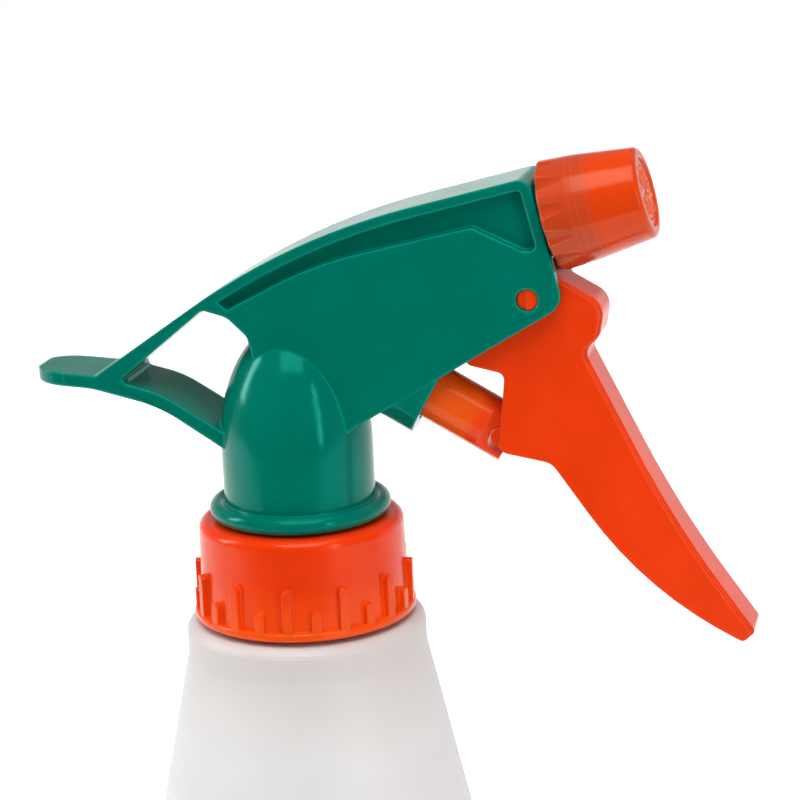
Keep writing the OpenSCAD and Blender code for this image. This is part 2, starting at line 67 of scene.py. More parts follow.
def add_node(tree, kind, values=None, **settings):
    made = tree.nodes.new(kind)
    for key, value in settings.items():
        setattr(made, key, value)
    for key, value in (values or {}).items():
        if isinstance(value, bpy.types.NodeSocket):
            tree.links.new(value, made.inputs[key])
        else:
            made.inputs[key].default_value = value
    return made


def new_material(name):
    made = bpy.data.materials.new(name)
    made.use_nodes = True
    made.node_tree.nodes.clear()
    return made, made.node_tree


def noise(tree, scale, detail=2.0, roughness=0.5):
    # Noise in the piece's own coordinates, which are in metres
    coords = add_node(tree, "ShaderNodeTexCoord")
    return add_node(tree, "ShaderNodeTexNoise",
                    {"Vector": coords.outputs["Object"], "Scale": scale, "Detail": detail,
                     "Roughness": roughness}).outputs["Fac"]


def spread(tree, value, low, high):
    # The middle of a noise's range, stretched between two values
    return add_node(tree, "ShaderNodeMapRange",
                    {"Value": value, "From Min": 0.3, "From Max": 0.7,
                     "To Min": low, "To Max": high}).outputs[0]


def white_rays(tree):
    # 1 for rays that show the background: seen directly, in gloss or through plastic
    path = add_node(tree, "ShaderNodeLightPath")
    first = add_node(tree, "ShaderNodeMath", {0: path.outputs["Is Camera Ray"],
                     1: path.outputs["Is Glossy Ray"]}, operation="MAXIMUM")
    return add_node(tree, "ShaderNodeMath", {0: first.outputs[0],
                    1: path.outputs["Is Transmission Ray"]}, operation="MAXIMUM").outputs[0]


def light_the_room():
    # Gloss sees the white room behind the mister and a dim one on the camera's side
    room = bpy.data.worlds.new("white_room")
    bpy.context.scene.world = room
    room.use_nodes = True
    tree = room.node_tree
    tree.nodes.clear()
    coords = add_node(tree, "ShaderNodeTexCoord")
    way = add_node(tree, "ShaderNodeSeparateXYZ", {"Vector": coords.outputs["Generated"]})
    depth = add_node(tree, "ShaderNodeMapRange",
                     {"Value": way.outputs["Y"], "From Min": -0.35, "From Max": 0.45,
                      "To Min": CAMERA_SIDE, "To Max": FAR_SIDE})
    height = add_node(tree, "ShaderNodeMapRange",
                      {"Value": way.outputs["Z"], "From Min": 0.1, "From Max": 0.35,
                       "To Min": 1.0, "To Max": CEILING})
    dimmed = add_node(tree, "ShaderNodeMath", {0: depth.outputs[0], 1: height.outputs[0]},
                      operation="MULTIPLY")
    direct = add_node(tree, "ShaderNodeLightPath")
    level = add_node(tree, "ShaderNodeMath", {0: dimmed.outputs[0],
                     1: direct.outputs["Is Camera Ray"]}, operation="MAXIMUM")
    seen = add_node(tree, "ShaderNodeBackground",
                    {"Color": WHITE, "Strength": level.outputs[0]})
    fill = add_node(tree, "ShaderNodeBackground", {"Color": WHITE, "Strength": ROOM_FILL})
    mix = add_node(tree, "ShaderNodeMixShader",
                   {0: white_rays(tree), 1: fill.outputs[0], 2: seen.outputs[0]})
    add_node(tree, "ShaderNodeOutputWorld", {"Surface": mix.outputs[0]})


def soft_lamp(name, place, aim, size, power):
    bpy.ops.object.light_add(type="AREA", location=place)
    lamp = bpy.context.object
    lamp.name = name
    lamp.data.shape = "RECTANGLE"
    lamp.data.size, lamp.data.size_y = size
    lamp.data.energy = power
    lamp.visible_camera = False
    lamp.rotation_euler = (Vector(aim) - Vector(place)).to_track_quat("-Z", "Y").to_euler()


def lay_the_floor():
    # The sheet ends in front of the mister, so that the sides don't mirror it
    bpy.ops.mesh.primitive_plane_add(size=FLOOR_SIZE,
                                     location=(0, FLOOR_FRONT + FLOOR_SIZE / 2, 0))
    bpy.ops.object.transform_apply(location=True)
    sheet = bpy.context.object
    sheet.name = "paper_sheet"
    paper, tree = new_material("white_paper")
    bump = add_node(tree, "ShaderNodeBump",
                    {"Height": noise(tree, 900.0), "Strength": 0.05, "Distance": 0.0002})
    glow = add_node(tree, "ShaderNodeMath", {0: white_rays(tree), 1: FLOOR_GLOW},
                    operation="MULTIPLY")
    skin = add_node(tree, "ShaderNodeBsdfPrincipled",
                    {"Base Color": FLOOR_WHITE, "Roughness": 0.7,
                     "Emission Color": WHITE, "Emission Strength": glow.outputs[0],
                     "Normal": bump.outputs[0]})
    add_node(tree, "ShaderNodeOutputMaterial", {"Surface": skin.outputs[0]})
    sheet.data.materials.append(paper)


def set_the_camera():
    turn = (Matrix.Rotation(CAMERA_AZIMUTH, 3, "Z")
            @ Matrix.Rotation(math.radians(90) - CAMERA_ELEVATION, 3, "X")
            @ Matrix.Rotation(CAMERA_ROLL, 3, "Z"))
    place = CAMERA_TARGET + CAMERA_DISTANCE * (turn @ Vector((0, 0, 1)))
    bpy.ops.object.camera_add(location=place, rotation=turn.to_euler())
    camera = bpy.context.object
    camera.data.lens = CAMERA_LENS
    camera.data.clip_start, camera.data.clip_end = 0.01, 30
    bpy.context.scene.camera = camera


bpy.ops.object.select_all(action="DESELECT")
light_the_room()
lay_the_floor()
set_the_camera()
soft_lamp("window_left", (-1.1, -0.15, 0.7), (0, 0, 0.2), (0.22, 0.7), 5)
soft_lamp("strip_right", (0.86, -0.68, 0.42), (0, 0, 0.2), (0.09, 0.8), 2.3)
soft_lamp("lamp_above", (0.1, -0.45, 1.25), (0, 0, 0.2), (0.8, 0.8), 8)
soft_lamp("sheet_behind", (0.0, 1.2, 0.33), (0, 0, 0.22), (2.4, 0.25), 0.5)
bpy.context.scene.view_settings.view_transform = "Standard"


# ---- Head ----
# The head is one injection moulding in green polypropylene: turret, side panels,
# top band, rear spur, pump cylinder and spigot. Its corners are rounded and get a painted
# highlight, its flat sides keep faint flow marks, and the mould's parting line runs down
# the middle.

GREEN = (0.0, 0.165, 0.115, 1)
# Painted highlight colour for the head's rounded corners
GREEN_EDGE_HIGHLIGHT = (0.0, 0.33, 0.235, 1)
GREEN_SHEEN = (0.05, 1, 0.85, 1)


def moulded_skin():
    # Rounded corners, a painted highlight on them, a parting line, and a mould's mottle
    made = bpy.data.node_groups.new("moulded_skin", "ShaderNodeTree")
    for name, kind in (("Colour", "NodeSocketColor"), ("Edge Highlight Colour", "NodeSocketColor"),
                       ("Edge Radius", "NodeSocketFloat"), ("Gloss", "NodeSocketFloat"),
                       ("Parting Line", "NodeSocketFloat")):
        made.interface.new_socket(name, in_out="INPUT", socket_type=kind)
    for name, kind in (("Colour", "NodeSocketColor"), ("Roughness", "NodeSocketFloat"),
                       ("Height", "NodeSocketFloat"), ("Normal", "NodeSocketVector")):
        made.interface.new_socket(name, in_out="OUTPUT", socket_type=kind)
    given = add_node(made, "NodeGroupInput")
    blotch = noise(made, 90.0, 3.0, 0.6)
    bevel = add_node(made, "ShaderNodeBevel", {"Radius": given.outputs["Edge Radius"]},
                     samples=6)
    flat = add_node(made, "ShaderNodeNewGeometry")
    facing = add_node(made, "ShaderNodeVectorMath",
                      {0: bevel.outputs[0], 1: flat.outputs["Normal"]}, operation="DOT_PRODUCT")
    # Painted highlight: where the rounded normal turns from the flat one, the paler edge
    # highlight colour is mixed in
    edge = add_node(made, "ShaderNodeMapRange",
                    {"Value": facing.outputs["Value"], "From Min": 0.995, "From Max": 0.8})
    tint_with_painted_light = add_node(made, "ShaderNodeMix", {0: edge.outputs[0], 6: given.outputs["Colour"],
                    7: given.outputs["Edge Highlight Colour"]}, data_type="RGBA")
    coords = add_node(made, "ShaderNodeTexCoord")
    place = add_node(made, "ShaderNodeSeparateXYZ", {"Vector": coords.outputs["Object"]})
    away = add_node(made, "ShaderNodeMath", {0: place.outputs["Y"]}, operation="ABSOLUTE")
    line = add_node(made, "ShaderNodeMapRange",
                    {"Value": away.outputs[0], "From Min": 0.00006, "From Max": 0.00018,
                     "To Min": 0.62, "To Max": 1.0})
    parted = add_node(made, "ShaderNodeMix", {0: given.outputs["Parting Line"], 2: 1.0,
                      3: line.outputs[0]}, data_type="FLOAT")
    darker = add_node(made, "ShaderNodeMath",
                      {0: spread(made, blotch, 0.93, 1.06), 1: parted.outputs[0]},
                      operation="MULTIPLY")
    mottled = add_node(made, "ShaderNodeVectorMath",
                       {0: tint_with_painted_light.outputs[2], "Scale": darker.outputs[0]}, operation="SCALE")
    rough = add_node(made, "ShaderNodeMath",
                     {0: given.outputs["Gloss"], 1: spread(made, blotch, -0.03, 0.05)},
                     operation="ADD")
    add_node(made, "NodeGroupOutput",
             {"Colour": mottled.outputs[0], "Roughness": rough.outputs[0],
              "Height": noise(made, 2600.0), "Normal": bevel.outputs[0]})
    return made


def plastic(name, colour, edge_highlight_colour, gloss, glow, glow_depth, clear=0.0, edge=0.00035,
            parting=0.0, second=None, sheen=WHITE):
    # Injection-moulded plastic: light sinks in a little and comes out tinted. A second
    # colour takes over between two distances along a line from a place.
    # The edge highlight colour is a painted highlight, laid paler on the rounded corners
    made, tree = new_material(name)
    skin = add_node(tree, "ShaderNodeGroup", node_tree=SKIN)
    for key, value in (("Colour", colour), ("Edge Highlight Colour", edge_highlight_colour),
                       ("Edge Radius", edge), ("Gloss", gloss), ("Parting Line", parting)):
        skin.inputs[key].default_value = value
    if second:
        other, origin, tilt, low, high = second
        coords = add_node(tree, "ShaderNodeTexCoord")
        local = add_node(tree, "ShaderNodeMapping",
                         {"Vector": coords.outputs["Object"], "Location": origin,
                          "Rotation": (0, tilt, 0)}, vector_type="TEXTURE")
        along = add_node(tree, "ShaderNodeSeparateXYZ", {"Vector": local.outputs[0]})
        share = add_node(tree, "ShaderNodeMapRange",
                         {"Value": along.outputs["X"], "From Min": low, "From Max": high},
                         interpolation_type="SMOOTHSTEP")
        blend = add_node(tree, "ShaderNodeMix", {0: share.outputs[0], 6: colour, 7: other},
                         data_type="RGBA")
        tree.links.new(blend.outputs[2], skin.inputs["Colour"])
    bump = add_node(tree, "ShaderNodeBump",
                    {"Height": skin.outputs["Height"], "Strength": 0.12, "Distance": 0.0001,
                     "Normal": skin.outputs["Normal"]})
    body = add_node(tree, "ShaderNodeBsdfPrincipled",
                    {"Base Color": skin.outputs["Colour"],
                     "Roughness": skin.outputs["Roughness"], "Normal": bump.outputs[0],
                     "IOR": 1.49, "Specular IOR Level": 0.36, "Specular Tint": sheen,
                     "Subsurface Weight": glow,
                     "Subsurface Radius": tuple(0.05 + c for c in colour[:3]),
                     "Subsurface Scale": glow_depth, "Transmission Weight": clear})
    add_node(tree, "ShaderNodeOutputMaterial", {"Surface": body.outputs[0]})
    return made


def dress(node, material):
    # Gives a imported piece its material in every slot
    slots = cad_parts[node].material_slots
    for number in range(len(slots)):
        slots[number].material = material


SKIN = moulded_skin()
MM = 0.001
COLLAR_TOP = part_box("collar")[1][2] / MM
SPRAY_TILT = math.radians(14)
STRUT_TILT = math.radians(34.5)
NOSE = Vector((41.2, 47.8))
PIVOT = Vector((38.8, 36.3))
CROSS_BAR = Vector((33.49, 14.02))
SPRAY = Vector((math.cos(SPRAY_TILT), math.sin(SPRAY_TILT)))
SPRAY_UP = Vector((-SPRAY.y, SPRAY.x))
STRUT = Vector((math.cos(STRUT_TILT), math.sin(STRUT_TILT)))
STRUT_UP = Vector((-STRUT.y, STRUT.x))
STRUT_PLACE = Vector((-17.6, 32))
SIDE, SPUR_SIDE = 6.6, 5.8
WEB_SIDE, BAY_SIDE = 5.0, 5.0
BAND_RISE, BAND_T, FRONT_BAR_T = 7.3, 1.5, 1.6


def corner(point, radius=0.0):
    return (point[0], point[1], radius)


def rounded(corners, steps=8):
    # An outline in millimetres from corners (x, z above the collar, radius)
    outline = []
    for number, (x, z, radius) in enumerate(corners):
        here = Vector((x, z))
        if not radius:
            outline.append(here)
            continue
        back = (Vector(corners[number - 1][:2]) - here).normalized()
        ahead = (Vector(corners[(number + 1) % len(corners)][:2]) - here).normalized()
        half = back.angle(ahead) / 2
        centre = here + (back + ahead).normalized() * radius / math.sin(half)
        start = here + back * radius / math.tan(half) - centre
        end = here + ahead * radius / math.tan(half) - centre
        outline += [centre + start.lerp(end, step / steps).normalized() * radius
                    for step in range(steps + 1)]
    return outline


def meeting(point, along, other, other_along):
    # Where the line through point crosses the line through other
    gap = other - point
    run = ((gap.x * other_along.y - gap.y * other_along.x)
           / (along.x * other_along.y - along.y * other_along.x))
    return point + run * along


def plate(name, outline, half_width, middle=0.0):
    # A plate cut to an outline, half_width to each side of the plane y = middle
    bpy.ops.object.select_all(action="DESELECT")
    bpy.ops.mesh.primitive_circle_add(vertices=len(outline), fill_type="NGON")
    made = bpy.context.object
    made.name = name
    for vertex, point in zip(made.data.vertices, outline):
        vertex.co = (point[0] * MM, (middle - half_width) * MM, (point[1] + COLLAR_TOP) * MM)
    bpy.ops.object.mode_set(mode="EDIT")
    bpy.ops.mesh.select_all(action="SELECT")
    bpy.ops.mesh.extrude_region_move(
        TRANSFORM_OT_translate={"value": (0, 2 * half_width * MM, 0)})
    bpy.ops.mesh.select_all(action="SELECT")
    bpy.ops.mesh.normals_make_consistent(inside=False)
    bpy.ops.object.mode_set(mode="OBJECT")
    return made


def rod(name, start, end, radius, sides=48):
    # A round bar between two points (x, y, z above the collar) in millimetres
    start, end = Vector(start) * MM, Vector(end) * MM
    lift = Vector((0, 0, COLLAR_TOP * MM))
    turn = (end - start).to_track_quat("Z", "Y")
    bpy.ops.object.select_all(action="DESELECT")
    bpy.ops.mesh.primitive_cylinder_add(vertices=sides, radius=radius * MM,
                                        depth=(end - start).length,
                                        location=(start + end) / 2 + lift,
                                        rotation=turn.to_euler())
    bpy.ops.object.transform_apply(location=True, rotation=True)
    made = bpy.context.object
    made.name = name
    return made


def combine(piece, tool, operation):
    # Joins, cuts or trims a piece with another, which is used up
    change = piece.modifiers.new("change", "BOOLEAN")
    change.operation, change.solver, change.object = operation, "EXACT", tool
    bpy.context.view_layer.objects.active = piece
    bpy.ops.object.modifier_apply(modifier=change.name)
    bpy.data.objects.remove(tool)


def merge_flat_faces(piece, gap=0.000002):
    bpy.ops.object.select_all(action="DESELECT")
    piece.select_set(True)
    bpy.context.view_layer.objects.active = piece
    bpy.ops.object.mode_set(mode="EDIT")
    bpy.ops.mesh.select_all(action="SELECT")
    bpy.ops.mesh.remove_doubles(threshold=gap)
    bpy.ops.mesh.dissolve_degenerate(threshold=gap)
    bpy.ops.mesh.select_all(action="SELECT")
    bpy.ops.mesh.dissolve_limited(angle_limit=math.radians(0.2))
    bpy.ops.object.mode_set(mode="OBJECT")


def copy_of(node, name):
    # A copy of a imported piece, merged from loose triangles, that can be worked on
    piece = bpy.data.objects.new(name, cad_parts[node].data.copy())
    bpy.context.collection.objects.link(piece)
    merge_flat_faces(piece)
    return piece


def finish_piece(piece, material, body, node):
    # Material and even shading, then the body it rides on and the node it stands for
    piece.data.materials.clear()
    piece.data.materials.append(material)
    bpy.ops.object.select_all(action="DESELECT")
    piece.select_set(True)
    bpy.context.view_layer.objects.active = piece
    bpy.ops.object.shade_smooth_by_angle(angle=math.radians(25))
    even = piece.modifiers.new("even_shading", "WEIGHTED_NORMAL")
    even.keep_sharp = True
    even.weight = 100
    bpy.ops.object.modifier_apply(modifier=even.name)
    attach(piece, body)
    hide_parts(node)


def spray_point(along, up=0.0):
    # A place along the spray axis from the nose, and square to it
    place = NOSE + along * SPRAY + up * SPRAY_UP
    return (place.x, 0, place.y)


BAND_CORNER = meeting(NOSE + BAND_RISE * SPRAY_UP, SPRAY, STRUT_PLACE, STRUT)
SPUR_TIP_X, SPUR_TOP_Z, SPUR_T, SPUR_EDGE_R = -42, 23.3, 2.1, 0.9
SPUR_ROOT_X, SPUR_TAPER = -27, 6
CHIN = NOSE - 12.7 * SPRAY_UP
BELLY_TILT = math.radians(30.6)
PUMP_TILT = math.radians(30)
PUMP = Vector((math.cos(PUMP_TILT), -math.sin(PUMP_TILT)))
PUMP_MOUTH = CROSS_BAR - 12.5 * PUMP
PUMP_WALL_R, PUMP_BORE_R = 7.2, 4.95
COLLAR_GAP = 0.27
TURRET_R, TURRET_STRAIGHT, DOME_H, TURRET_WALL = 12, 12, 19.3, 1.8
RING_R = 1.4
RISER_R, RISER_BORE_R, RISER_SOCKET_R = 4.3, 2.6, 3.35
SPIGOT_R, SPIGOT_END, INSERT_R, OUTLET_R = 5.6, 10.2, 3, 2.1
STUD_HOLE_R = 1.71


def side_view():
    # Band, strut, spur and link in one line round the moulding
    return rounded([
        corner(NOSE + BAND_RISE * SPRAY_UP, 2), corner(NOSE - 8 * SPRAY_UP), (10, 20, 0),
        (0, 12, 0), (-9, 11.4, 0), (-20.5, 18.9, 22), (-31, 21.3, 20),
        (SPUR_TIP_X, SPUR_TOP_Z + SPUR_EDGE_R - SPUR_T, SPUR_EDGE_R),
        (SPUR_TIP_X, SPUR_TOP_Z + SPUR_EDGE_R, SPUR_EDGE_R),
        (-30.8, SPUR_TOP_Z, 1), corner(BAND_CORNER, 110)], 12)


def panel_outline():
    # The side panels, from the nose down to the chin and back along the belly
    return rounded([
        corner(NOSE - 3.6 * SPRAY_UP), corner(CHIN, 3),
        (9.5, CHIN.y - (CHIN.x - 9.5) * math.tan(BELLY_TILT), 2.4), (3, 16, 0), (-3.4, 20, 0),
        (-4, 26, 0), (-6.6, 31, 0), (-8, 35, 0), (6, 42, 0), corner(NOSE + SPRAY_UP)])


def window_outline():
    # The opening between strut, spur link and turret
    return rounded([
        (-26.9, 22.6, 0.7), (-12.3, 34.3, 1.2), (-8.4, 33.2, 3.5), (-5.3, 30.2, 2),
        (-4.3, 26, 0), (-3.7, 10, 0), (-9, 11.4 + 1.25 * SPUR_T, 0),
        (-20.2, 18.7 + 1.05 * SPUR_T, 18)])


def groove_outline():
    # Groove under the band, widening into a pocket behind the front bar
    low = BAND_RISE - BAND_T
    inner = NOSE - FRONT_BAR_T * SPRAY
    strut_line = STRUT_PLACE - BAND_T * STRUT_UP
    return rounded([
        corner(strut_line - 0.5 * STRUT),
        corner(meeting(NOSE + low * SPRAY_UP, SPRAY, strut_line, STRUT), 108.5),
        corner(inner + low * SPRAY_UP, 0.8), corner(inner - 3.6 * SPRAY_UP, 0.8),
        (38.4, 43.7, 0.8), (30.6, 47.3, 1.5), (6, 41.6, 60), (-17, 29.9, 0)], 12)


def turned(name, profile, steps=72):
    # A turned body round the turret's axis, from a profile (radius, z above the collar)
    bpy.ops.object.select_all(action="DESELECT")
    bpy.ops.mesh.primitive_circle_add(vertices=len(profile), fill_type="NOTHING")
    made = bpy.context.object
    made.name = name
    for vertex, point in zip(made.data.vertices, profile):
        vertex.co = (point[0] * MM, 0, (point[1] + COLLAR_TOP) * MM)
    last = len(profile) - 1
    bpy.ops.object.mode_set(mode="EDIT")
    bpy.ops.mesh.select_all(action="DESELECT")
    bpy.ops.object.mode_set(mode="OBJECT")
    for edge in made.data.edges:
        edge.select = set(edge.vertices) == {0, last}
    bpy.ops.object.mode_set(mode="EDIT")
    bpy.ops.mesh.select_mode(type="EDGE")
    bpy.ops.mesh.delete(type="EDGE_FACE")
    bpy.ops.mesh.select_all(action="SELECT")
    bpy.ops.mesh.spin(steps=steps, angle=math.radians(360), center=(0, 0, 0), axis=(0, 0, 1))
    bpy.ops.mesh.select_all(action="SELECT")
    bpy.ops.mesh.remove_doubles(threshold=0.000001)
    bpy.ops.mesh.normals_make_consistent(inside=False)
    bpy.ops.object.mode_set(mode="OBJECT")
    return made


def dome(name, radius, bottom, straight, height):
    # A straight wall with an arched top
    arc = [(radius * math.cos(math.radians(a)), straight + height * math.sin(math.radians(a)))
           for a in range(0, 90, 5)]
    return turned(name, [(0, bottom), (radius, bottom)] + arc + [(0, straight + height)])


def across(point, half):
    # The two ends of a bar that lies across the head
    return (point.x, -half, point.y), (point.x, half, point.y)


def pump_point(along):
    # A place along the pump's axis from its mouth
    place = PUMP_MOUTH + along * PUMP
    return (place.x, 0, place.y)


def make_the_head():
    # Flat parts: band, spur and panels, with their window, grooves and rounded tip
    head = plate("head_moulding", side_view(), SIDE)
    combine(head, plate("panels", panel_outline(), SIDE), "UNION")
    combine(head, plate("window", window_outline(), SIDE + 1), "DIFFERENCE")
    rear_cut = [Vector((-9.35, 35.2)) + Matrix.Rotation(math.radians(-39), 2) @ Vector(p)
                for p in ((-6, 0), (54, 0), (54, 60), (-6, 60))]
    for side in (-1, 1):
        groove = plate("groove", groove_outline(), SIDE, side * (WEB_SIDE + SIDE))
        combine(groove, plate("square_end", rear_cut, 20), "INTERSECT")
        combine(head, groove, "DIFFERENCE")
    for vertex in head.data.vertices:
        narrow = min(max((SPUR_ROOT_X - vertex.co.x / MM) / SPUR_TAPER, 0), 1)
        vertex.co.y *= 1 - narrow * (1 - SPUR_SIDE / SIDE)
    centre = SPUR_TIP_X + SPUR_SIDE
    square_tip = [(SPUR_TIP_X - 2, 15), (centre, 15), (centre, 30), (SPUR_TIP_X - 2, 30)]
    tip = plate("spur_tip", square_tip, SIDE + 1)
    combine(tip, rod("round_tip", (centre, 0, 14), (centre, 0, 31), SPUR_SIDE, 64),
            "DIFFERENCE")
    combine(head, tip, "DIFFERENCE")
    gusset = [Vector((-29, 21.5)), Vector((-25.6, 20.2)), Vector((-25.6, 22.9))]
    combine(head, plate("gusset", gusset, 5.2), "UNION")
    # The bay that the trigger and the pump sit in, then the pump's cylinder
    bay = [NOSE + 4 * SPRAY - 5.6 * SPRAY_UP, NOSE + 4 * SPRAY - 20 * SPRAY_UP, Vector((12, 4)),
           Vector((7, 8)), Vector((7, 30)), NOSE - 22 * SPRAY - 5.6 * SPRAY_UP]
    combine(head, plate("bay", bay, BAY_SIDE), "DIFFERENCE")
    cylinder = rod("pump_cylinder", pump_point(-26), pump_point(0), PUMP_WALL_R, 64)
    flats = [(0, 0.5), (60, 0.5), (60, 60), (0, 60)]
    combine(cylinder, plate("flats", flats, SIDE - 0.1), "INTERSECT")
    combine(head, cylinder, "UNION")
    # Hollow turret with the riser inside it, and the pump's bore
    combine(head, dome("turret", TURRET_R, COLLAR_GAP, TURRET_STRAIGHT, DOME_H), "UNION")
    combine(head, dome("turret_inside", TURRET_R - TURRET_WALL, -1, TURRET_STRAIGHT - 1,
                       DOME_H - 3), "DIFFERENCE")
    combine(head, rod("riser", (0, 0, 8.3), (0, 0, 28.3), RISER_R), "UNION")
    combine(head, rod("riser_bore", (0, 0, 7.5), (0, 0, 29.5), RISER_BORE_R), "DIFFERENCE")
    combine(head, rod("riser_socket", (0, 0, 7.5), (0, 0, 12.2), RISER_SOCKET_R),
            "DIFFERENCE")
    combine(head, rod("pump_bore", pump_point(-24), pump_point(0.5), PUMP_BORE_R, 64),
            "DIFFERENCE")
    # Ring at the turret's foot, spigot with its bores, and the trigger's stud holes
    bpy.ops.object.select_all(action="DESELECT")
    bpy.ops.mesh.primitive_torus_add(location=(0, 0, (COLLAR_TOP + RING_R + COLLAR_GAP) * MM),
                                     major_radius=(TURRET_R + 1) * MM, minor_radius=RING_R * MM,
                                     major_segments=96, minor_segments=24)
    bpy.ops.object.transform_apply(location=True)
    combine(head, bpy.context.object, "UNION")
    combine(head, rod("flange", spray_point(-1), spray_point(0.35), SIDE - 0.4, 64), "UNION")
    combine(head, rod("spigot", spray_point(-1.2), spray_point(SPIGOT_END), SPIGOT_R, 64),
            "UNION")
    combine(head, rod("outlet_bore", spray_point(-4), spray_point(20), OUTLET_R),
            "DIFFERENCE")
    combine(head, rod("insert_bore", spray_point(4.6), spray_point(20), INSERT_R),
            "DIFFERENCE")
    combine(head, rod("stud_holes", *across(PIVOT, 8), STUD_HOLE_R), "DIFFERENCE")
    return head


green = plastic("green_moulding", GREEN, GREEN_EDGE_HIGHLIGHT, 0.14, 0.1, 0.0015, edge=0.0007,
                parting=1.0, sheen=GREEN_SHEEN)
finish_piece(make_the_head(), green, "head", "head_housing")


# ---- Bottle ----
# The bottle is blow-moulded in unpigmented polyethylene, about a millimetre thick,
# so it is milky and lets light through. Its surface waves slightly.

MILK = (0.84, 0.82, 0.81, 1)
# Painted shade near the neck, under the collar
MILK_NECK_SHADE = (0.68, 0.61, 0.585, 1)
NECK_SHADE = (34, 12)


def milky_plastic():
    made, tree = new_material("milky_plastic")
    waves, pores = noise(tree, 60.0), noise(tree, 1800.0)
    # Painted shade: the colour darkens toward the neck, where the collar's shadow falls on the
    # bottle
    coords = add_node(tree, "ShaderNodeTexCoord")
    place = add_node(tree, "ShaderNodeSeparateXYZ", {"Vector": coords.outputs["Object"]})
    neck_shade_share = add_node(tree, "ShaderNodeMapRange",
                     {"Value": place.outputs["Z"],
                      "From Min": (COLLAR_TOP - NECK_SHADE[0]) * MM,
                      "From Max": (COLLAR_TOP - NECK_SHADE[1]) * MM})
    shade = add_node(tree, "ShaderNodeMix",
                     {0: neck_shade_share.outputs[0], 6: MILK, 7: MILK_NECK_SHADE}, data_type="RGBA")
    tint_with_painted_light = add_node(tree, "ShaderNodeVectorMath",
                    {0: shade.outputs[2], "Scale": spread(tree, waves, 0.97, 1.02)},
                    operation="SCALE")
    ripple = add_node(tree, "ShaderNodeBump",
                      {"Height": waves, "Strength": 0.25, "Distance": 0.0006})
    fine = add_node(tree, "ShaderNodeBump",
                    {"Height": pores, "Strength": 0.15, "Distance": 0.0001,
                     "Normal": ripple.outputs[0]})
    body = add_node(tree, "ShaderNodeBsdfPrincipled",
                    {"Base Color": tint_with_painted_light.outputs[0], "IOR": 1.5,
                     "Roughness": spread(tree, pores, 0.36, 0.48),
                     "Transmission Weight": 0.06, "Subsurface Weight": 0.5,
                     "Subsurface Radius": (1, 0.95, 0.9), "Subsurface Scale": 0.002,
                     "Normal": fine.outputs[0]})
    add_node(tree, "ShaderNodeOutputMaterial", {"Surface": body.outputs[0]})
    return made


dress("bottle", milky_plastic())


# ---- Collar ----
# The screw collar is injection moulded in orange polypropylene, with tall and short
# grip ribs by turns and a lip at its foot. Toward the foot its colour is painted yellower,
# a painted glow for light that comes up through it from the milky bottle.

ORANGE_SHEEN = (1, 0.8, 0.55, 1)
ORANGE = (0.84, 0.04, 0.001, 1)
# Painted glow at the foot, for light from the bottle below
ORANGE_FOOT_GLOW = (0.9, 0.075, 0.001, 1)
# Painted highlight colour for the collar's rounded corners
ORANGE_EDGE_HIGHLIGHT = (0.92, 0.1, 0.02, 1)
UPRIGHT = math.radians(90)
dress("collar", plastic("orange_collar", ORANGE, ORANGE_EDGE_HIGHLIGHT, 0.2, 0.2, 0.003,
                        second=(ORANGE_FOOT_GLOW, (0, 0, COLLAR_TOP * MM), UPRIGHT, 0.006, 0.0145),
                        sheen=ORANGE_SHEEN))


# ---- Trigger and piston ----
# The trigger is a thin U-section lever in the same orange, clipped by its studs into
# the head's panels. The piston is a hollow orange plunger that its bar pushes.

LEVER = (0.87, 0.045, 0.002, 1)
# Painted highlight colour for the lever's rounded corners
LEVER_EDGE_HIGHLIGHT = (0.93, 0.13, 0.04, 1)
PLUNGER = (0.95, 0.1, 0.006, 1)
PLUNGER_END = (0.9, 0.055, 0.006, 1)
# Painted highlight colour for the plunger's rounded corners
PLUNGER_EDGE_HIGHLIGHT = (0.93, 0.13, 0.03, 1)
TRIGGER_SIDE, TIP_SIDE, CREST_SIDE = 4.4, 4.9, 3.6
CHEEK_T = 1.15
HUB_R, STUD_R, CROSS_BAR_R = 4.7, 1.6, 1.6
FLARE_START, FLARE_LENGTH = 12, PIVOT.y - 2
PLUNGER_FLAT = TRIGGER_SIDE - CHEEK_T - 0.15
BLADE_TIP = PIVOT + Vector((33.5, -52.3))
HEEL = CROSS_BAR + Vector((1.3, -1.5))
STEP = Vector((-0.5, -0.12))


def trigger_outline(shift=Vector((0, 0))):
    # The lever from the side, by corners set from its pivot and from its heel
    from_pivot = [(2.4, 4, 0), (11.3, -1.1, 3.2), (10.4, -6.2, 2.5), (8, -8.3, 2),
                  (21.5, -35.4, 160), (33.5, -52.3, 0.8), (32.1, -53.4, 0.8), (17.5, -46.1, 60)]
    from_heel = [(7.2, -2, 3), (-1, -0.4, 1.5), (0.3, 11.9, 1.2)]
    rear = [(-10, -10.4, 1), (-6.5, -2, 3), (0, 0, 0)]
    return rounded([corner(PIVOT + shift + Vector(p[:2]), p[2]) for p in from_pivot]
                   + [corner(HEEL + shift + Vector(p[:2]), p[2]) for p in from_heel]
                   + [corner(PIVOT + shift + Vector(p[:2]), p[2]) for p in rear])


